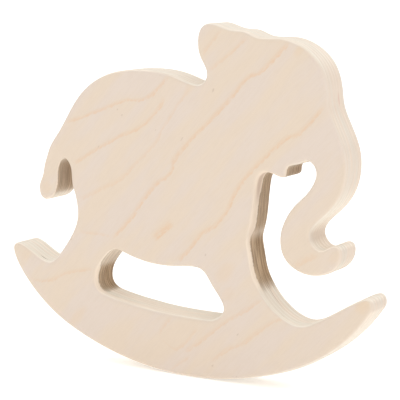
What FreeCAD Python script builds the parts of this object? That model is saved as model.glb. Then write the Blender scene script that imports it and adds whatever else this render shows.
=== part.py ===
import FreeCAD, Part
import math
import os

# A rocking elephant sawn from one birch-plywood board: body, head, trunk, tail, two legs and the
# crescent rocker under them are a single outline, with both faces rounded over by hand.
#
# Frame: X runs along the elephant (it faces +X), Y through the board (the show face looks to -Y)
# and Z is up.  The origin is the point of the rocker that touches the floor at rest, half-way
# through the board.
#
# The pieces are the thirteen veneers of the board, glued with the grain of each one across its
# neighbours'.  Every veneer is the rounded blank cut down to its own layer of the board.

VENEER_COUNT = 13

# Driving dimensions (mm and degrees), copied into the sheet under these names.
DIMENSIONS = {
    "board_thickness": 18.0,
    "veneer_count": VENEER_COUNT,
    "round_over": 2.0,
    # The rocker: a long arc underfoot that turns up more tightly towards both tips.
    "rocker_radius": 169.0,
    "rocker_rear_angle": 26.5,
    "rocker_front_angle": 21.5,
    "end_radius": 90.0,
    "end_height": 45.0,
}

# The rest of the outline runs over the elephant, from the front tip of the rocker round to the
# rear tip.  Each stretch lists the points (x, z) its curve passes through, the first of them being
# where it takes over from the stretch before.
BODY = {
    "front tip": [(104.0, 48.0), (103.0, 50.5), (100.3, 51.3)],
    "front rocker top": [(89.0, 45.8), (74.9, 37.8), (63.4, 34.3)],
    "front leg": [(50.1, 40.9), (42.2, 50.3), (38.5, 58.3), (36.8, 67.2), (36.0, 73.6)],
    "chest": [(37.4, 79.4), (39.0, 87.2), (40.7, 100.7), (43.2, 107.2), (47.6, 108.6)],
    "lower lip": [(52.2, 107.3), (55.3, 106.6), (57.5, 107.4), (58.1, 109.6)],
    "mouth corner": [(59.0, 112.0), (62.3, 113.1), (65.9, 114.0)],
    "mouth": [(69.3, 115.3), (72.4, 113.4), (73.8, 108.8)],
    "trunk rear": [(69.5, 100.3), (62.4, 93.5), (56.3, 84.8), (53.9, 76.0), (55.6, 67.9)],
    "trunk curl": [(61.2, 62.3), (71.1, 59.6), (83.7, 63.6)],
    "trunk tip": [(87.5, 70.8), (86.6, 74.4), (84.3, 75.4)],
    "trunk crook": [(80.3, 74.0), (75.5, 72.7), (71.0, 78.4)],
    "trunk front": [(74.4, 85.1), (81.4, 91.4), (88.5, 101.9), (89.9, 120.2)],
    "forehead": [(82.3, 139.3), (80.8, 149.3), (77.1, 160.8), (67.7, 169.7)],
    "brow dip": [(55.3, 173.6), (43.3, 174.1)],
    "ear": [(35.8, 176.9), (27.3, 177.8), (17.8, 180.6), (10.6, 178.1), (9.2, 166.0)],
    "neck valley": [(13.3, 157.5), (12.7, 152.6), (8.0, 150.4)],
    "back": [(-5.9, 154.5), (-24.9, 157.1), (-44.9, 155.0)],
    "rump": [(-61.0, 146.8), (-71.1, 135.6), (-79.2, 123.9), (-85.9, 115.0), (-89.3, 105.5)],
    "tail": [(-90.8, 99.5), (-93.5, 94.8), (-93.5, 89.0), (-90.5, 86.3), (-84.6, 88.5)],
    "tail notch": [(-80.9, 95.9), (-79.7, 104.9), (-75.6, 109.3), (-71.8, 105.1), (-70.9, 95.8)],
    "rear leg": [(-68.6, 81.3), (-71.8, 70.1), (-80.9, 57.8)],
    "rear rocker top": [(-88.0, 52.4), (-97.4, 55.5), (-106.9, 60.6)],
    "rear tip": [(-111.4, 60.7), (-113.5, 57.4)],
}

# The window between the belly and the rocker, a closed curve of its own.
WINDOW = {
    "belly": [(-36.9, 60.7), (-24.2, 57.5), (-10.2, 56.8), (3.4, 57.7), (9.4, 56.0)],
    "inner front leg": [(14.0, 50.0), (19.0, 43.1), (21.0, 37.1)],
    "rocker floor": [(16.3, 32.5), (9.8, 31.7), (-10.2, 32.3), (-30.2, 34.3)],
    "inner rear leg": [(-49.1, 37.6), (-56.6, 41.2), (-57.3, 48.7), (-50.6, 59.1), (-44.3, 63.0)],
}


def add_sheet(doc):
    """The spreadsheet of driving dimensions, plus the veneer thickness worked out from them."""
    sheet = doc.addObject("Spreadsheet::Sheet", "Dimensions")
    for row, (name, value) in enumerate(DIMENSIONS.items(), start=1):
        sheet.set(f"A{row}", name)
        sheet.set(f"B{row}", str(value))
        sheet.setAlias(f"B{row}", name)
    row = len(DIMENSIONS) + 1
    sheet.set(f"A{row}", "veneer_thickness")
    sheet.set(f"B{row}", "=board_thickness / veneer_count")
    sheet.setAlias(f"B{row}", "veneer_thickness")
    doc.recompute()
    return sheet


def arc(centre, radius, start, end):
    """An arc in the sketch's plane, its angles in radians counterclockwise from the x axis."""
    circle = Part.Circle(centre, FreeCAD.Vector(0, 0, 1), radius)
    return Part.ArcOfCircle(circle, start, end)


def on_circle(centre, radius, angle):
    return centre + FreeCAD.Vector(math.cos(angle), math.sin(angle), 0) * radius


def rocker_arcs(sheet):
    """The underside of the rocker from rear to front: three arcs, each tangent to the next."""
    down = math.radians(-90)
    rear = down - math.radians(sheet.rocker_rear_angle)
    front = down + math.radians(sheet.rocker_front_angle)
    middle = FreeCAD.Vector(0, sheet.rocker_radius, 0)
    shift = sheet.rocker_radius - sheet.end_radius
    rear_centre = on_circle(middle, shift, rear)
    front_centre = on_circle(middle, shift, front)
    # Both end arcs stop at the same height, where the curves of the tips take over.
    rear_turn = math.acos((rear_centre.y - sheet.end_height) / sheet.end_radius)
    front_turn = math.acos((front_centre.y - sheet.end_height) / sheet.end_radius)
    return [
        arc(rear_centre, sheet.end_radius, down - rear_turn, rear),
        arc(middle, sheet.rocker_radius, rear, front),
        arc(front_centre, sheet.end_radius, front, down + front_turn),
    ]


def points_of(stretches):
    """All the points of the stretches in one list, and where in it each stretch begins."""
    points = []
    starts = []
    for stretch in stretches.values():
        starts.append(len(points))
        points += [FreeCAD.Vector(x, z, 0) for x, z in stretch]
    return points, starts


def centripetal(points):
    """Parameters spaced by the square root of each chord, which keep tight turns from looping."""
    values = [0.0]
    for before, after in zip(points, points[1:]):
        values.append(values[-1] + math.sqrt(after.distanceToPoint(before)))
    return values


def cut_curve(curve, cuts):
    """The curve as consecutive pieces, cut at the given parameters."""
    pieces = []
    for first, last in zip(cuts, cuts[1:]):
        piece = curve.copy()
        piece.segment(first, last)
        pieces.append(piece)
    return pieces


def body_curves(arcs):
    """The smooth curve over the elephant, joined without a kink to both ends of the rocker."""
    rear, front = arcs[0], arcs[-1]
    body, starts = points_of(BODY)
    points = [front.EndPoint, *body, rear.StartPoint]
    parameters = centripetal(points)
    curve = Part.BSplineCurve()
    curve.interpolate(
        Points=points,
        Parameters=parameters,
        InitialTangent=front.tangent(front.LastParameter)[0] * (parameters[1] - parameters[0]),
        FinalTangent=rear.tangent(rear.FirstParameter)[0] * (parameters[-1] - parameters[-2]),
        Scale=False,
    )
    cuts = [parameters[start + 1] for start in starts]
    return cut_curve(curve, [parameters[0], *cuts, parameters[-1]])


def window_curves():
    """The closed curve round the window under the belly."""
    points, starts = points_of(WINDOW)
    parameters = centripetal([*points, points[0]])
    curve = Part.BSplineCurve()
    curve.interpolate(Points=points, Parameters=parameters, PeriodicFlag=True)
    return cut_curve(curve, [*(parameters[start] for start in starts), parameters[-1]])


def origin_plane(body, role):
    return next(plane for plane in body.Origin.OriginFeatures if plane.Role == role)


def add_blank(doc, sheet):
    """The sawn board with both faces rounded over, still in one piece."""
    body = doc.addObject("PartDesign::Body", "Blank")
    sketch = body.newObject("Sketcher::SketchObject", "Outline")
    sketch.AttachmentSupport = [(origin_plane(body, "XZ_Plane"), "")]
    sketch.MapMode = "FlatFace"
    arcs = rocker_arcs(sheet)
    sketch.addGeometry([*arcs, *body_curves(arcs), *window_curves()], False)
    board = body.newObject("PartDesign::Pad", "Board")
    board.Profile = sketch
    board.SideType = "Symmetric"
    board.setExpression("Length", "Dimensions.board_thickness")
    doc.recompute()
    faces = [
        f"Face{number}"
        for number, face in enumerate(board.Shape.Faces, start=1)
        if abs(face.normalAt(0, 0).y) > 0.99
    ]
    rounding = body.newObject("PartDesign::Fillet", "RoundOver")
    rounding.Base = (board, faces)
    rounding.setExpression("Radius", "Dimensions.round_over")
    body.Tip = rounding
    doc.recompute()
    return body


def veneer_label(number):
    """Faces and odd veneers carry the long grain; the even ones are the crossbands between."""
    if number == 1:
        return "front_face_veneer"
    if number == VENEER_COUNT:
        return "back_face_veneer"
    kind = "crossband" if number % 2 == 0 else "core_veneer"
    return f"{kind}_{number:02d}"


def add_veneer(doc, blank, number):
    """One veneer: the part of the blank that lies in its layer, counted from the show face."""
    bounds = blank.Shape.BoundBox
    layer = doc.addObject("Part::Box", f"Layer{number:02d}")
    layer.Length = bounds.XLength
    layer.Height = bounds.ZLength
    layer.Placement.Base = FreeCAD.Vector(bounds.XMin, 0, bounds.ZMin)
    layer.setExpression("Width", "Dimensions.veneer_thickness")
    layer.setExpression(
        "Placement.Base.y",
        f"{number - 1} * Dimensions.veneer_thickness - Dimensions.board_thickness / 2",
    )
    veneer = doc.addObject("Part::Common", f"Veneer{number:02d}")
    veneer.Base = blank
    veneer.Tool = layer
    veneer.Label = veneer_label(number)
    return veneer


def check(doc, veneers):
    """Stop before writing anything if an object failed or a veneer is not one sound solid."""
    for item in doc.Objects:
        if "Invalid" in item.State or "Error" in item.State:
            raise RuntimeError(f"{item.Label} did not build: {item.State}")
    for veneer in veneers:
        shape = veneer.Shape
        if shape.isNull() or not shape.isValid() or len(shape.Solids) != 1:
            raise RuntimeError(f"{veneer.Label} is not one valid solid")


def main():
    doc = FreeCAD.newDocument("RockingElephant")
    sheet = add_sheet(doc)
    blank = add_blank(doc, sheet)
    veneers = [add_veneer(doc, blank, number) for number in range(1, VENEER_COUNT + 1)]
    doc.recompute()
    check(doc, veneers)
    os.makedirs("parts", exist_ok=True)
    for veneer in veneers:
        veneer.Shape.exportStep(os.path.join("parts", f"{veneer.Label}.step"))


main()
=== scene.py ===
import math

import bpy
import numpy as np
from mathutils import Matrix, Vector
from mathutils.geometry import delaunay_2d_cdt


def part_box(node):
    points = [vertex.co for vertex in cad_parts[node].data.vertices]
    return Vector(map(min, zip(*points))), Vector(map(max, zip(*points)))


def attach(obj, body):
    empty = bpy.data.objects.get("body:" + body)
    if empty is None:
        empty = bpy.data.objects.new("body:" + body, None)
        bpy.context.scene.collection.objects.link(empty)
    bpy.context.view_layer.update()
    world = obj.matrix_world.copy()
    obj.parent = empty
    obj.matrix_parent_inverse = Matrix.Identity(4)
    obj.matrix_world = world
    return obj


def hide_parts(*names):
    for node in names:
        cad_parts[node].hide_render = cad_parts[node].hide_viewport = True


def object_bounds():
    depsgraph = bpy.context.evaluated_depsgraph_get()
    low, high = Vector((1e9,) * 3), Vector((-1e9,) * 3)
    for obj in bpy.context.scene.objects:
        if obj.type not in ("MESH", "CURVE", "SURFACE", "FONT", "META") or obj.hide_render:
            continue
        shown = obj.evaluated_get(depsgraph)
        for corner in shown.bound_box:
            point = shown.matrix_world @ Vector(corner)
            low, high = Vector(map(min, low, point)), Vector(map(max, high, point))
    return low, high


# A rocking elephant sawn from thirteen-ply birch board, bare and lightly sanded.
#
# The CAD frame gives every veneer's outline and layer.  Each veneer is rebuilt here as a finer
# piece: its edge is rounded over by hand near the faces, wanders slightly as a saw does and is
# grooved at the glue lines.  The materials show rotary-cut birch: long grain at 45 degrees on the
# faces, with darker growth lines, and more or less end grain on the sawn edges as they turn.

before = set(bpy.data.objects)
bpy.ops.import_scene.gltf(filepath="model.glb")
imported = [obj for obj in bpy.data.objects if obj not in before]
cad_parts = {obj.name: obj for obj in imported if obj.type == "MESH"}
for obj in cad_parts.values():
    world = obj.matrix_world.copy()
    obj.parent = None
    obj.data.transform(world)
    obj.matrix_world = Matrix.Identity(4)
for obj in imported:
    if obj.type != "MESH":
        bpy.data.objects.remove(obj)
cad_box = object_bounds()

MM = 0.001

VENEERS = sorted(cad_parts, key=lambda node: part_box(node)[0].y)
THICKNESS = (cad_box[1].y - cad_box[0].y) / MM
PLY = THICKNESS / len(VENEERS)

# How closely points follow the outline and fill the faces (mm), and the fewest on one loop.
POINT_SPACING = 1.0
FACE_GRID = 5.0
FEWEST_POINTS = 24

# The round-over, the groove of a glue line and the unevenness of each veneer's edge (mm).
MIN_ROUND = 1.5
MAX_ROUND = 2.4
GROOVE_DEPTH = 0.035
GROOVE_WIDTH = 0.16
PLY_WANDER = 0.04

# Sanding has closed the outermost glue line on each side: it lies nearer to the face than this.
SANDED_SHUT = 1.5 * PLY

# Walls that no sanding block reaches stay brown from the saw, and the brown is also painted shade
# where a neighbouring part shades the recess.  Each mark has its middle (x, z), how far it goes
# along the wall, its strength and the depth of the clean lip at the show face, which is painted lit
# where light reaches past the neighbouring part.
SAW_BURNS_AND_SHADE = {
    "tail notch": (-80.0, 99.5, 12.0, 0.8, 0.4),
    "foot": (37.5, 63.0, 17.0, 1.0, 3.0),
    "chest": (39.2, 90.0, 16.0, 0.88, 5.6),
    "throat": (42.0, 105.0, 13.0, 0.9, 7.2),
    "mouth": (57.8, 108.5, 6.0, 0.82, 1.2),
    "window heel": (-57.4, 45.5, 10.0, 1.0, 3.2),
    "window end": (-52.0, 57.5, 15.0, 0.5, 0.8),
}

# How steeply a mark fades at its ends, the lip on all other walls, and how far a round-over may
# reach past the lip of a mark (mm).
BURN_AND_SHADE_FADE = 2.6
USUAL_LIP = 2.0
LIP_ROUND = 0.4

# The grain of the faces and of the odd veneers runs up and forward at this angle.
GRAIN_ANGLE = math.radians(45)


# ---------------------------------------------------------------------------------------------
# Outline

def welded_cap(node):
    """The points (x, z) and the triangles of one flat side of a veneer."""
    mesh = node.data
    corners = {}
    index = {}
    points = []
    side = min(vertex.co.y for vertex in mesh.vertices)
    for vertex in mesh.vertices:
        if abs(vertex.co.y - side) < 0.001 * MM:
            key = (round(vertex.co.x, 7), round(vertex.co.z, 7))
            if key not in corners:
                corners[key] = len(points)
                points.append((vertex.co.x / MM, vertex.co.z / MM))
            index[vertex.index] = corners[key]
    faces = [
        [index[i] for i in face.vertices]
        for face in mesh.polygons
        if abs(face.normal.y) > 0.99 and all(i in index for i in face.vertices)
    ]
    return np.array(points), faces


def boundary_loops(points, faces):
    """Closed loops of points round a flat mesh, in order, the longest loop first."""
    directed = set()
    for face in faces:
        directed.update(zip(face, face[1:] + face[:1]))
    following = {a: b for a, b in directed if (b, a) not in directed}
    loops = []
    while following:
        start, here = following.popitem()
        loop = [start]
        while here != start:
            loop.append(here)
            here = following.pop(here)
        loops.append(points[loop])
    return sorted(loops, key=len, reverse=True)


def signed_area(loop):
    after = np.roll(loop, -1, axis=0)
    return 0.5 * float(np.sum(loop[:, 0] * after[:, 1] - after[:, 0] * loop[:, 1]))


def even_spacing(loop, spacing):
    """The loop's smooth curve, resampled at equal steps, with its outward normals."""
    steps = np.linalg.norm(np.roll(loop, -1, axis=0) - loop, axis=1)
    along = np.concatenate([[0.0], np.cumsum(steps)])
    count = max(FEWEST_POINTS, round(along[-1] / spacing))
    before, after = np.roll(loop, 1, axis=0), np.roll(loop, -1, axis=0)
    slopes = (after - before) / (steps + np.roll(steps, 1))[:, None]
    at = np.linspace(0, along[-1], count, endpoint=False)
    i = np.searchsorted(along, at, side="right") - 1
    j = (i + 1) % len(loop)
    length = steps[i][:, None]
    t = ((at - along[i]) / steps[i])[:, None]
    smooth = (
        (2 * t**3 - 3 * t**2 + 1) * loop[i]
        + (t**3 - 2 * t**2 + t) * length * slopes[i]
        + (3 * t**2 - 2 * t**3) * loop[j]
        + (t**3 - t**2) * length * slopes[j]
    )
    tangent = np.roll(smooth, -1, axis=0) - np.roll(smooth, 1, axis=0)
    tangent /= np.linalg.norm(tangent, axis=1)[:, None]
    return smooth, np.stack([tangent[:, 1], -tangent[:, 0]], axis=1)


def softened(values, passes):
    """Values round a closed loop, averaged with their neighbours."""
    for _ in range(passes):
        values = 0.25 * np.roll(values, 1) + 0.5 * values + 0.25 * np.roll(values, -1)
    return values


def wander(count, waves, seed):
    """A smooth random wave round a closed loop, between about -1 and 1."""
    random = np.random.default_rng(seed)
    turn = np.linspace(0, 2 * np.pi, count, endpoint=False)
    total = np.zeros(count)
    for wave in waves:
        total += np.sin(wave * turn + random.uniform(0, 2 * np.pi)) * random.uniform(0.5, 1)
    return total / math.sqrt(len(waves))


def saw_burn_and_shade(points):
    """How brown the saw and painted shade leave each point of a wall, and the depth of the clean,
    painted lit lip there.
    """
    burnt_and_shaded = np.zeros(len(points))
    lip = np.full(len(points), USUAL_LIP)
    for x, z, reach, strength, sanded_lit_lip_depth in SAW_BURNS_AND_SHADE.values():
        far = np.hypot(points[:, 0] - x, points[:, 1] - z) / reach
        mark = strength * np.clip(BURN_AND_SHADE_FADE * (1 - far), 0, 1)
        lip = np.where(mark > burnt_and_shaded, sanded_lit_lip_depth, lip)
        burnt_and_shaded = np.maximum(burnt_and_shaded, mark)
    return softened(burnt_and_shaded, 2), softened(lip, 4)


def read_outline():
    """The veneers' common outline and the window, with normals, round-over radii and saw burns with
    painted shade.
    """
    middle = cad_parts[VENEERS[len(VENEERS) // 2]]
    loops = boundary_loops(*welded_cap(middle))
    rings = []
    for number, loop in enumerate(loops):
        outer = number == 0
        if (signed_area(loop) > 0) != outer:
            loop = loop[::-1]
        points, normals = even_spacing(loop, POINT_SPACING)
        # The smooth curve can swing slightly past the CAD outline, so it is held to that box.
        points = np.clip(points, loop.min(axis=0), loop.max(axis=0))
        burnt_and_shaded, lip = saw_burn_and_shade(points)
        rings.append({
            "points": points,
            "normals": normals,
            "burnt_and_shaded": burnt_and_shaded,
            "lip": lip,
            "radius": round_over(normals, burnt_and_shaded, lip, outer, 31 + number),
        })
    return rings


def round_over(normals, burnt_and_shaded, lip, outer, seed):
    """The round-over's radius: less on top of the elephant and where the lip of a saw burn with
    painted shade is narrow.
    """
    upward = np.clip(normals[:, 1], 0, 1) if outer else 0
    radius = MAX_ROUND - (MAX_ROUND - MIN_ROUND) * upward
    radius = radius * (1 + 0.08 * wander(len(normals), (5, 9, 14), seed))
    radius = np.clip(radius, MIN_ROUND, MAX_ROUND)
    radius = np.where(burnt_and_shaded > 0, np.minimum(radius, lip + LIP_ROUND), radius)
    return softened(radius, 6)


# ---------------------------------------------------------------------------------------------
# Pieces

def rounded_inset(depth, radius):
    """How far the round-over has pulled in a wall at a depth below the face."""
    left = np.clip(radius - depth, 0, None)
    return radius - np.sqrt(np.clip(radius**2 - left**2, 0, None))


def veneer_depths(number):
    """Depths below the nearer face at which a veneer's edge has a ring of points."""
    groove = GROOVE_WIDTH / PLY
    if number == 0:
        return PLY * np.array([0, 0.02, 0.07, 0.15, 0.27, 0.42, 0.6, 0.78, 1 - groove, 1])
    if number == 1:
        return PLY * (1 + np.array([0, groove, 0.3, 0.5, 0.7, 1 - groove, 1]))
    return PLY * (number + np.array([0, groove, 0.5, 1 - groove, 1]))


def edge_inset(number, depth, ring, seed):
    """The veneer's edge at a depth: round-over, glue-line groove and the ply's own relief."""
    inset = rounded_inset(depth, ring["radius"])
    within = depth / PLY - number
    on_glue = abs(within - round(within)) < 1e-6 and depth > SANDED_SHUT
    count = len(ring["points"])
    if on_glue:
        inset = inset + GROOVE_DEPTH * (1 + 0.3 * wander(count, (11, 23, 37), seed + 5))
    elif depth > 0:
        fade = min(1.0, within * 2) if number == 0 else 1.0
        relief = PLY_WANDER * (0.5 + 0.5 * wander(count, (3, 8, 17, 29), seed))
        inset = inset + fade * np.clip(relief, 0, None)
    return inset


def inside(spot, loops):
    """Whether a spot is in the wood: it crosses the loops an odd number of times."""
    crossings = 0
    for loop in loops:
        after = np.roll(loop, -1, axis=0)
        straddles = (loop[:, 1] > spot[1]) != (after[:, 1] > spot[1])
        rise = np.where(straddles, after[:, 1] - loop[:, 1], 1)
        x = loop[:, 0] + (spot[1] - loop[:, 1]) * (after[:, 0] - loop[:, 0]) / rise
        crossings += int(np.sum(straddles & (x > spot[0])))
    return crossings % 2 == 1


def grid_points(loops, spacing):
    """Points of a triangular grid in the wood, clear of the loops."""
    lo, hi = loops[0].min(axis=0), loops[0].max(axis=0)
    border = np.concatenate(loops)
    spots = []
    for row, z in enumerate(np.arange(lo[1], hi[1], spacing * 0.866)):
        for x in np.arange(lo[0] + spacing / 2 * (row % 2), hi[0], spacing):
            spot = np.array([x, z])
            clear = np.min(np.linalg.norm(border - spot, axis=1)) > 0.6 * spacing
            if clear and inside(spot, loops):
                spots.append(Vector(spot))
    return spots


def cap_triangles(loops, spacing):
    """A clean flat mesh inside the first loop and outside the others."""
    points = [Vector(p) for loop in loops for p in loop]
    edges = []
    start = 0
    for loop in loops:
        edges += [(start + i, start + (i + 1) % len(loop)) for i in range(len(loop))]
        start += len(loop)
    border = len(points)
    if spacing:
        points += grid_points(loops, spacing)
    vertices, _, faces = delaunay_2d_cdt(points, edges, [], 0, 1e-5)[:3]
    if len(vertices) != len(points):
        raise RuntimeError("the cap's outline crosses itself")
    places = np.array([tuple(v) for v in vertices])
    kept = [face for face in faces if inside(places[list(face)].mean(axis=0), loops)]
    return places[border:], kept


def edge_sections(layer, rings):
    """The veneer's outline at each of its depths, from front to back, as pairs of y and loops."""
    last = len(VENEERS) - 1
    from_back = layer > last / 2
    number = last - layer if from_back else layer
    sections = []
    for depth in veneer_depths(number):
        loops = [
            ring["points"]
            - ring["normals"] * edge_inset(number, depth, ring, 100 * layer + k)[:, None]
            for k, ring in enumerate(rings)
        ]
        y = depth - THICKNESS / 2
        sections.append((-y if from_back else y, loops))
    if from_back:
        sections.reverse()
    return sections


def wall_faces(levels, sizes):
    """Quads that join each level's loops to the next level's; sizes counts each loop's points."""
    stride = sum(sizes)
    faces = []
    for level in range(levels - 1):
        start = level * stride
        for size in sizes:
            for i in range(size):
                a, b = start + i, start + (i + 1) % size
                faces.append((a, a + stride, b + stride, b))
            start += size
    return faces


def add_burns_and_shade(mesh, rings, levels):
    """Store how brown each wall point is from the saw and from painted shade, and its clean lip,
    painted lit, for the materials to read.
    """
    for quality in ("burnt_and_shaded", "lip"):
        values = np.zeros(len(mesh.vertices), np.float32)
        walls = np.tile(np.concatenate([ring[quality] for ring in rings]), levels)
        values[: len(walls)] = walls
        mesh.attributes.new(quality, "FLOAT", "POINT").data.foreach_set("value", values)


def build_veneer(name, layer, rings):
    """One veneer as a closed mesh.  layer counts from the show face."""
    sections = edge_sections(layer, rings)
    sizes = [len(ring["points"]) for ring in rings]
    stride = sum(sizes)
    vertices = []
    for y, loops in sections:
        vertices += [(x * MM, y * MM, z * MM) for loop in loops for x, z in loop]
    faces = wall_faces(len(sections), sizes)
    front, back = 0, len(sections) - 1
    for end in (front, back):
        y, loops = sections[end]
        visible = (layer, end) in ((0, front), (len(VENEERS) - 1, back))
        extra, triangles = cap_triangles(loops, FACE_GRID if visible else 0)
        first = len(vertices)
        vertices += [(x * MM, y * MM, z * MM) for x, z in extra]
        for triangle in triangles:
            corners = [end * stride + i if i < stride else first + i - stride for i in triangle]
            faces.append(corners[::-1] if end == back else corners)
    mesh = bpy.data.meshes.new(name)
    mesh.from_pydata(vertices, [], faces)
    add_burns_and_shade(mesh, rings, len(sections))
    smooth = [abs(polygon.normal.y) < 0.999 for polygon in mesh.polygons]
    mesh.polygons.foreach_set("use_smooth", smooth)
    mesh.update()
    piece = bpy.data.objects.new(name, mesh)
    bpy.context.scene.collection.objects.link(piece)
    return piece


# ---------------------------------------------------------------------------------------------
# Materials

def srgb(red, green, blue):
    """A colour as seen on screen, 0 to 255, as a shader colour."""
    def linear(value):
        value /= 255
        return value / 12.92 if value <= 0.04045 else ((value + 0.055) / 1.055) ** 2.4

    return (linear(red), linear(green), linear(blue), 1.0)


# The faces: two tints of the veneer and what darkens it.
FACE_TINTS = srgb(221, 206, 193), srgb(223, 206, 187)
FIBRE_SHADE = srgb(213, 195, 177)
STAIN = srgb(224, 198, 166)
GROWTH = srgb(222, 190, 158)
FLECK = srgb(168, 142, 118)

# The sawn walls, bare and where the saw has marked them, with painted light on level walls and the
# clean lip, and painted shade in the recesses and the throat's band.
UPRIGHT_TINTS = srgb(225, 209, 194), srgb(220, 209, 197)
# Painted light: walls that face up or down get these paler tints.
PAINTED_LIT_LEVEL_TINTS = srgb(242, 230, 215), srgb(238, 231, 218)
END_GRAIN = srgb(205, 186, 163)
PORE = srgb(200, 178, 152)
SAW_STREAK = srgb(208, 190, 168)
# The clean lip is painted lit; the burnt tints are saw brown and painted shade.
SANDED_AND_LIT_LIP = srgb(240, 224, 206)
BURNT_AND_SHADED_TINTS = srgb(187, 161, 130), srgb(136, 111, 83)
GLUE = srgb(138, 112, 86)
BURNT_AND_SHADED_GLUE = srgb(104, 82, 58)
HALF_SHADE = srgb(203, 182, 165)
RED_VEIN = srgb(212, 176, 160)
OPEN_GAP = srgb(120, 100, 80)


class Nodes:
    """Short calls that add shader nodes to one material and link them."""

    def __init__(self, name):
        self.material = bpy.data.materials.new(name)
        self.material.use_nodes = True
        self.tree = self.material.node_tree
        self.shader = self.tree.nodes["Principled BSDF"]

    def add(self, kind, **settings):
        node = self.tree.nodes.new(kind)
        for key, value in settings.items():
            setattr(node, key, value)
        return node

    def put(self, socket, value):
        if isinstance(value, bpy.types.NodeSocket):
            self.tree.links.new(value, socket)
        elif value is not None:
            socket.default_value = value

    def math(self, operation, a, b=None, c=None):
        node = self.add("ShaderNodeMath", operation=operation)
        for socket, value in zip(node.inputs, (a, b, c)):
            self.put(socket, value)
        return node.outputs[0]

    def product(self, first, *others):
        for other in others:
            first = self.math("MULTIPLY", first, other)
        return first

    def scaled(self, value, factor):
        return self.math("MULTIPLY", value, factor)

    def step(self, value, low, high, to_low=0.0, to_high=1.0):
        """A smooth rise from to_low to to_high as value goes from low to high."""
        node = self.add("ShaderNodeMapRange", interpolation_type="SMOOTHSTEP")
        for socket, setting in zip(node.inputs, (value, low, high, to_low, to_high)):
            self.put(socket, setting)
        return node.outputs[0]

    def noise(self, place, scale=1.0, detail=2.0, rough=0.5):
        node = self.add("ShaderNodeTexNoise")
        self.put(node.inputs["Vector"], place)
        self.put(node.inputs["Scale"], scale)
        self.put(node.inputs["Detail"], detail)
        self.put(node.inputs["Roughness"], rough)
        return node.outputs[0]

    def vector(self, x, y, z):
        node = self.add("ShaderNodeCombineXYZ")
        for socket, value in zip(node.inputs, (x, y, z)):
            self.put(socket, value)
        return node.outputs[0]

    def parts(self, vector):
        node = self.add("ShaderNodeSeparateXYZ")
        self.put(node.inputs[0], vector)
        return node.outputs

    def mix(self, amount, a, b):
        node = self.add("ShaderNodeMix", data_type="RGBA", blend_type="MIX")
        self.put(node.inputs["Factor"], amount)
        self.put(node.inputs["A"], a)
        self.put(node.inputs["B"], b)
        return node.outputs["Result"]


# Where the growth lines of the show face run (x, z in mm): each has a course, a width and a
# strength.  They are the borders between one year's growth and the next, cut at a slant, and they
# fade out over LINE_END at both ends.
LINE_END = 5.0
GROWTH_LINES = {
    "rump": ([(-74, 128), (-55, 134), (-35, 141), (-22, 142.5), (-14, 148), (-7, 155)], 1.0, 0.8),
    "flank": ([(-70, 106), (-52, 116), (-40, 122), (-20, 132), (-10, 144)], 1.0, 0.8),
    "flank branch": ([(-36, 104), (-17, 120), (-12, 128), (5, 149)], 0.8, 0.45),
    "hip": ([(-67, 87), (-52, 94), (-38, 101), (-28, 110)], 1.2, 0.5),
    "belly": ([(-46, 68), (-33, 80), (-26, 89), (-18, 98), (-8.5, 104.5), (-6, 111), (3, 121),
               (22, 138), (31, 147), (36, 152.5), (45, 157), (62, 172)], 1.1, 0.9),
    "knee": ([(-68, 70), (-55, 70), (-44, 69.5)], 1.3, 0.45),
    "shoulder": ([(-6, 60), (2, 66), (9, 74), (20, 82), (31, 99), (42, 111), (58, 125), (68, 130),
                  (80, 142)], 1.1, 0.9),
    "streak": ([(-20, 69), (-14, 74), (-6, 80.5)], 1.9, 1.0),
    "ear": ([(11, 164), (24, 178)], 0.9, 0.5),
    "temple": ([(15, 157), (27, 165), (39, 175)], 1.0, 0.55),
    "rear foot": ([(-101, 41), (-88, 42), (-76, 47), (-57, 51)], 1.1, 0.6),
    "loop top": ([(-17.5, 18), (-15, 24), (-8, 31)], 0.9, 0.5),
    "loop foot": ([(-17.5, 17), (-14, 12.5), (-7, 13.5), (7, 27)], 0.9, 0.5),
    "toe": ([(-3, 12), (6, 18), (20, 29), (34, 38), (45, 46)], 1.0, 0.6),
    "toe edge": ([(13, 9), (24, 17), (34, 22), (44, 30), (58, 38)], 1.0, 0.6),
    "sole": ([(-11, 2), (3, 12)], 0.8, 0.4),
    "trunk": ([(62, 62), (69, 67), (77, 71)], 1.6, 0.55),
}

# Softer tan stains: (x, z, half length along the grain, half width, strength).
STAINS = [
    (-71, 23, 12, 4, 0.5),
    (23, 57, 9, 5, 0.45),
    (25, 46, 6, 4, 0.35),
    (99, 48, 6, 4, 0.6),
    (-88, 93, 5, 4, 0.4),
    (85, 70, 6, 3, 0.4),
    (66, 168, 5, 3, 0.5),
    (5, 150, 7, 3, 0.35),
    (-104, 55, 6, 3, 0.3),
]

# Dark flecks, short and narrow, along the grain: (x, z, half length).
FLECK_WIDTH = 0.4
FLECK_STRENGTH = 0.3
FLECKS = [
    (-37.5, 134, 0.8),
    (-40, 136.5, 0.6),
    (-17, 127, 0.9),
    (-1, 123, 1.8),
    (18, 148, 1.6),
    (15, 8, 1.3),
    (29, 4, 0.8),
    (12, 65, 0.9),
    (30, 26, 1.2),
    (-53, 116.5, 1.4),
    (-72.5, 66, 0.8),
]

# Marks on the sawn walls (x, y, z, half length, half width, strength): an open gap in a core veneer
# and dark stretches of glue line at the foot and the window, a band of painted half shade at the
# throat, and a red vein in the forehead's edge.
CORE_GAPS = [
    (-93.5, -6.1, 53.8, 3.8, 0.35, 0.8),
    (44.5, 0.75, 46.5, 12.0, 0.3, 0.4),
    (-57.6, 4.9, 44.5, 9.0, 0.3, 0.5),
]
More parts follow.
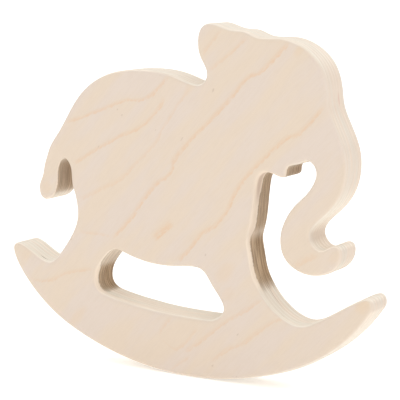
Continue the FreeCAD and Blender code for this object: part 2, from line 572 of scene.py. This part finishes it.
# Painted half shade between the lit lip and the shaded wall at the throat.
PAINTED_HALF_SHADE_BANDS = [
    (41.5, -4.4, 103.0, 13.0, 2.9, 0.85),
]
RED_VEINS = [
    (81.3, 2.0, 144.5, 4.5, 0.8, 0.6),
]


def grain_frame(n, place):
    """Distances in mm along and across the face grain of a place given as x, y, z in mm."""
    x, _, z = n.parts(place)
    c, s = math.cos(GRAIN_ANGLE), math.sin(GRAIN_ANGLE)
    along = n.math("ADD", n.scaled(x, c), n.scaled(z, s))
    across = n.math("SUBTRACT", n.scaled(z, c), n.scaled(x, s))
    return along, across


def in_grain_frame(x, z):
    """The same distances for a fixed point."""
    c, s = math.cos(GRAIN_ANGLE), math.sin(GRAIN_ANGLE)
    return x * c + z * s, z * c - x * s


def course_curve(n, part, spots):
    """How far across the grain a course runs, where part goes from 0 to 1 along it."""
    first, last = spots[0][0], spots[-1][0]
    low = min(v for _, v in spots) - 1
    high = max(v for _, v in spots) + 1
    curve = n.add("ShaderNodeFloatCurve")
    n.put(curve.inputs["Value"], part)
    points = curve.mapping.curves[0].points
    for position, (u, v) in enumerate(spots):
        at = ((u - first) / (last - first), (v - low) / (high - low))
        if position == 0:
            points[0].location = at
        elif position == len(spots) - 1:
            points[-1].location = at
        else:
            points.new(*at)
    curve.mapping.update()
    return n.math("MULTIPLY_ADD", curve.outputs[0], high - low, low)


def growth_line(n, along, across, course, width, strength):
    """The darkness of one growth line: it follows its course, sharp below and soft above."""
    spots = [in_grain_frame(x, z) for x, z in course]
    length = spots[-1][0] - spots[0][0]
    part = n.math("DIVIDE", n.math("SUBTRACT", along, spots[0][0]), length)
    off = n.math("SUBTRACT", across, course_curve(n, part, spots))
    below = n.step(off, -0.9 * width, -0.1 * width)
    above = n.step(off, 0.0, 2.4 * width, 1.0, 0.0)
    fade = LINE_END / length
    ends = n.product(n.step(part, 0.0, fade), n.step(part, 1 - fade, 1.0, 1.0, 0.0))
    return n.product(below, above, ends, strength)


def soft_spot(n, along, across, x, z, length, width, strength):
    """A stain or fleck: strongest in its middle, drawn out along the grain."""
    u, v = in_grain_frame(x, z)
    far = n.math("POWER", n.math("DIVIDE", n.math("SUBTRACT", along, u), length), 2.0)
    wide = n.math("POWER", n.math("DIVIDE", n.math("SUBTRACT", across, v), width), 2.0)
    return n.step(n.math("ADD", far, wide), 0.0, 1.0, strength, 0.0)


def wall_spot(n, place, x, y, z, length, width, strength):
    """A narrow mark that runs along a sawn wall at the depth y."""
    offset = n.add("ShaderNodeVectorMath", operation="SUBTRACT")
    n.put(offset.inputs[0], place)
    n.put(offset.inputs[1], (x, y, z))
    scaled = n.add("ShaderNodeVectorMath", operation="DIVIDE")
    n.put(scaled.inputs[0], offset.outputs[0])
    n.put(scaled.inputs[1], (length, width, length))
    far = n.add("ShaderNodeVectorMath", operation="LENGTH")
    n.put(far.inputs[0], scaled.outputs[0])
    return n.step(far.outputs["Value"], 0.3, 1.0, strength, 0.0)


def strongest(n, values):
    total = values[0]
    for value in values[1:]:
        total = n.math("MAXIMUM", total, value)
    return total


def figure(n, colour, along, across, feather):
    """The colour with the growth lines, stains and flecks of a face veneer added."""
    lines = strongest(n, [growth_line(n, along, across, *line) for line in GROWTH_LINES.values()])
    stains = strongest(n, [soft_spot(n, along, across, *stain) for stain in STAINS])
    flecks = strongest(n, [
        soft_spot(n, along, across, *fleck, FLECK_WIDTH, FLECK_STRENGTH) for fleck in FLECKS
    ])
    patchy = n.step(feather, 0.3, 0.65, 0.25, 0.8)
    colour = n.mix(n.scaled(stains, 0.6), colour, STAIN)
    colour = n.mix(n.product(lines, patchy), colour, GROWTH)
    return n.mix(flecks, colour, FLECK)


def flat_grain(n, place, growth):
    """The colour of a veneer's flat side and the relief of its fibres."""
    along, across = grain_frame(n, place)
    waver = n.noise(n.vector(n.scaled(along, 0.12), 0.0, across), 0.35, 3.0, 0.6)
    feather = n.noise(n.vector(n.scaled(along, 0.5), 5.0, across), 0.8, 2.0, 0.6)
    band = n.noise(n.vector(n.scaled(along, 0.016), 3.0, n.scaled(across, 0.07)), 1.0, 3.0, 0.55)
    fibre = n.noise(n.vector(n.scaled(along, 0.09), 9.0, across), 1.6, 4.0, 0.65)
    colour = n.mix(n.step(band, 0.38, 0.62), *FACE_TINTS)
    colour = n.mix(n.step(fibre, 0.35, 0.8, 0.0, 0.3), colour, FIBRE_SHADE)
    if growth:
        across = n.math("ADD", across, n.math("MULTIPLY_ADD", waver, 2.4, -1.2))
        across = n.math("ADD", across, n.math("MULTIPLY_ADD", feather, 2.0, -1.0))
        colour = figure(n, colour, along, across, feather)
    return colour, fibre


def bare_wall(n, x, y, z, normal):
    """Walls that face up or down are painted paler than upright ones, as painted light from above
    and sheen, and the tint shifts between plies.
    """
    level = n.step(n.math("ABSOLUTE", normal[2]), 0.2, 0.8)
    plies = n.vector(n.scaled(x, 0.02), n.scaled(y, 0.3), n.scaled(z, 0.02))
    tint = n.step(n.noise(plies, 1.0, 2.0, 0.5), 0.38, 0.62)
    return n.mix(level, n.mix(tint, *UPRIGHT_TINTS), n.mix(tint, *PAINTED_LIT_LEVEL_TINTS))


def end_grain(n, colour, pores, normal, crossband):
    """The colour with the pores that show where a wall crosses the grain."""
    turn = GRAIN_ANGLE + (math.pi / 2 if crossband else 0)
    facing = n.math(
        "ADD", n.scaled(normal[0], math.cos(turn)), n.scaled(normal[2], math.sin(turn)),
    )
    crossing = n.product(facing, facing)
    colour = n.mix(n.scaled(crossing, 0.22), colour, END_GRAIN)
    return n.mix(n.product(n.step(pores, 0.5, 0.85, 0.0, 0.35), crossing), colour, PORE)


def saw_brown_and_shade(n, colour, place, depth, streak):
    """The colour with the saw's brown and painted shade, which darkens deeper in the wall, its
    clean lip painted lit, and how brown each spot is.
    """
    x, y, z = place
    burnt_and_shaded = n.add("ShaderNodeAttribute", attribute_name="burnt_and_shaded").outputs["Fac"]
    lip = n.add("ShaderNodeAttribute", attribute_name="lip").outputs["Fac"]
    ragged = n.noise(n.vector(x, n.scaled(y, 0.3), z), 0.9, 3.0, 0.7)
    past_lip = n.math("SUBTRACT", depth, n.math("MULTIPLY_ADD", ragged, 1.6, lip))
    # Painted light: the clean lip at the show face is painted a lit cream.
    sanded_lit_lip_amount = n.product(burnt_and_shaded, n.step(past_lip, -1.0, -0.3, 1.0, 0.0))
    colour = n.mix(sanded_lit_lip_amount, colour, SANDED_AND_LIT_LIP)
    uneven = n.math("ADD", burnt_and_shaded, n.math("MULTIPLY_ADD", streak, 1.4, -0.7))
    # Painted shade: the brown, partly from the saw, darkens from 4 to 12 mm deep in the wall.
    burnt_and_shaded = n.product(
        burnt_and_shaded,
        n.step(uneven, 0.1, 0.5),
        n.step(past_lip, -0.9, -0.1),
        n.step(depth, 4.0, 12.0, 0.85, 1.0),
        n.step(depth, THICKNESS - 1.6, THICKNESS - 0.4, 1.0, 0.0),
    )
    colour = n.mix(n.step(streak, 0.4, 0.75, 0.0, 0.3), colour, SAW_STREAK)
    return n.mix(burnt_and_shaded, colour, n.mix(n.step(streak, 0.36, 0.64), *BURNT_AND_SHADED_TINTS)), burnt_and_shaded


def glue_lines(n, colour, depth, slow, burnt_and_shaded):
    """The colour with broken glue lines between the inner plies, darker where the wall is brown
    from the saw and from painted shade.
    """
    layer = n.math("FRACT", n.math("MULTIPLY_ADD", depth, 1 / PLY, 0.5))
    from_glue = n.math("ABSOLUTE", n.math("SUBTRACT", layer, 0.5))
    edge = 0.1 * PLY
    inner = n.product(
        n.step(depth, SANDED_SHUT - edge, SANDED_SHUT + edge),
        n.step(depth, THICKNESS - SANDED_SHUT - edge, THICKNESS - SANDED_SHUT + edge, 1.0, 0.0),
    )
    glue = n.product(
        n.step(from_glue, 0.0, 0.14, 1.0, 0.0),
        inner,
        n.step(n.noise(slow, 1.0, 3.0), 0.35, 0.62, 0.05, 0.4),
        n.math("MULTIPLY_ADD", burnt_and_shaded, 1.5, 0.5),
    )
    return n.mix(glue, colour, n.mix(burnt_and_shaded, GLUE, BURNT_AND_SHADED_GLUE))


def sawn_edge(n, place, normal, crossband):
    """The colour of the sawn walls and the relief of their pores."""
    x, y, z = n.parts(place)
    depth = n.math("ADD", y, THICKNESS / 2)
    pores = n.noise(n.vector(x, n.math("MULTIPLY", y, 1.5), z), 2.4, 3.0, 0.7)
    slow = n.vector(n.scaled(x, 0.05), y, n.scaled(z, 0.05))
    streak = n.noise(slow, 1.5, 3.0, 0.6)

    colour = bare_wall(n, x, y, z, normal)
    colour = end_grain(n, colour, pores, normal, crossband)
    colour, burnt_and_shaded = saw_brown_and_shade(n, colour, (x, y, z), depth, streak)
    colour = glue_lines(n, colour, depth, slow, burnt_and_shaded)
    for marks, tint in (
        (PAINTED_HALF_SHADE_BANDS, HALF_SHADE),
        (RED_VEINS, RED_VEIN),
        (CORE_GAPS, OPEN_GAP),
    ):
        amount = strongest(n, [wall_spot(n, place, *mark) for mark in marks])
        colour = n.mix(amount, colour, tint)
    return colour, n.math("SUBTRACT", n.math("ADD", pores, streak), 1.0)


def mirrored(n, place):
    """The place moved and mirrored, so that the hidden face has a figure of its own."""
    node = n.add("ShaderNodeMapping")
    n.put(node.inputs["Vector"], place)
    n.put(node.inputs["Location"], (-24, 0, 12))
    n.put(node.inputs["Scale"], (-1, 1, 1))
    return node.outputs[0]


def birch(name, crossband, back=False):
    """Bare birch.  crossband turns the grain across; back moves the figure for the hidden face."""
    n = Nodes(name)
    to_mm = n.add("ShaderNodeVectorMath", operation="SCALE")
    n.put(to_mm.inputs[0], n.add("ShaderNodeTexCoord").outputs["Object"])
    n.put(to_mm.inputs["Scale"], 1 / MM)
    place = to_mm.outputs[0]
    normal = n.parts(n.add("ShaderNodeNewGeometry").outputs["Normal"])
    edge = n.step(n.math("ABSOLUTE", normal[1]), 0.55, 0.97, 1.0, 0.0)

    flat, fibre = flat_grain(n, mirrored(n, place) if back else place, growth=not crossband)
    sawn, rough = sawn_edge(n, place, normal, crossband)
    n.put(n.shader.inputs["Base Color"], n.mix(edge, flat, sawn))
    gloss = n.math("MULTIPLY_ADD", fibre, 0.12, 0.54)
    n.put(n.shader.inputs["Roughness"], n.math("MULTIPLY_ADD", edge, 0.15, gloss))
    n.put(n.shader.inputs["Specular IOR Level"], 0.3)
    bump = n.add("ShaderNodeBump")
    n.put(bump.inputs["Strength"], 0.25)
    n.put(bump.inputs["Distance"], 0.1 * MM)
    n.put(bump.inputs["Height"], n.math("ADD", n.scaled(fibre, 0.5), n.product(rough, edge)))
    n.put(n.shader.inputs["Normal"], bump.outputs[0])
    return n.material


# ---------------------------------------------------------------------------------------------
# Studio

CAMERA_PLACE = Vector((0.38472, -0.60284, 0.20207))
CAMERA_TARGET = Vector((0.00921, -0.009, 0.09274))
CAMERA_ROLL = math.radians(-1.03)
LENS = 127.8
SENSOR = 36.0

# The strength of the white sky, the floor's half width (m) and its own light.
SKY = 0.3
FLOOR_HALF = 30.0
FLOOR_GLOW = 0.3

# Wide soft lights: strength, angle across the sky in degrees and the side they shine from.
SUNS = {
    "overhead": (1.6, 110, (0, 0, 1)),
    "right": (1.05, 90, (1, -0.3, 0.3)),
    "left": (0.9, 90, (-1, -0.2, 0.3)),
    "front": (0.25, 110, (0, -1, 0.4)),
    "behind": (0.5, 110, (0, 1, 0.4)),
}


def add_camera():
    data = bpy.data.cameras.new("camera")
    data.sensor_width = SENSOR
    data.lens = LENS
    camera = bpy.data.objects.new("camera", data)
    bpy.context.scene.collection.objects.link(camera)
    turn = (CAMERA_TARGET - CAMERA_PLACE).to_track_quat("-Z", "Y").to_matrix()
    turn = turn @ Matrix.Rotation(CAMERA_ROLL, 3, "Z")
    camera.matrix_world = Matrix.Translation(CAMERA_PLACE) @ turn.to_4x4()
    bpy.context.scene.camera = camera


def add_sun(name, strength, spread, side):
    data = bpy.data.lights.new(name, "SUN")
    data.energy = strength
    data.angle = math.radians(spread)
    sun = bpy.data.objects.new(name, data)
    sun.rotation_mode = "QUATERNION"
    sun.rotation_quaternion = Vector(side).to_track_quat("Z", "Y")
    bpy.context.scene.collection.objects.link(sun)


def add_floor():
    half = FLOOR_HALF
    mesh = bpy.data.meshes.new("floor")
    corners = [(-half, -half, 0), (half, -half, 0), (half, half, 0), (-half, half, 0)]
    mesh.from_pydata(corners, [], [(0, 1, 2, 3)])
    floor = bpy.data.objects.new("floor", mesh)
    bpy.context.scene.collection.objects.link(floor)
    n = Nodes("pale paper")
    n.put(n.shader.inputs["Base Color"], srgb(247, 246, 244))
    n.put(n.shader.inputs["Roughness"], 0.9)
    n.put(n.shader.inputs["Specular IOR Level"], 0.1)
    n.put(n.shader.inputs["Emission Color"], (1, 1, 1, 1))
    n.put(n.shader.inputs["Emission Strength"], FLOOR_GLOW)
    mesh.materials.append(n.material)


def add_world():
    world = bpy.data.worlds.new("studio")
    world.use_nodes = True
    background = world.node_tree.nodes["Background"]
    background.inputs["Color"].default_value = (1, 1, 1, 1)
    background.inputs["Strength"].default_value = SKY
    bpy.context.scene.world = world
    bpy.context.scene.view_settings.view_transform = "Standard"


# ---------------------------------------------------------------------------------------------

def add_pieces():
    rings = read_outline()
    finishes = {
        "long": birch("birch long grain", crossband=False),
        "cross": birch("birch crossband", crossband=True),
        "back": birch("birch back face", crossband=False, back=True),
    }
    last = len(VENEERS) - 1
    for layer, node in enumerate(VENEERS):
        piece = build_veneer(f"{node}_sawn", layer, rings)
        finish = "back" if layer == last else "cross" if layer % 2 else "long"
        piece.data.materials.append(finishes[finish])
        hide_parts(node)
        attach(piece, "root")


add_pieces()
add_floor()
add_world()
for sun_name, sun_settings in SUNS.items():
    add_sun(sun_name, *sun_settings)
add_camera()
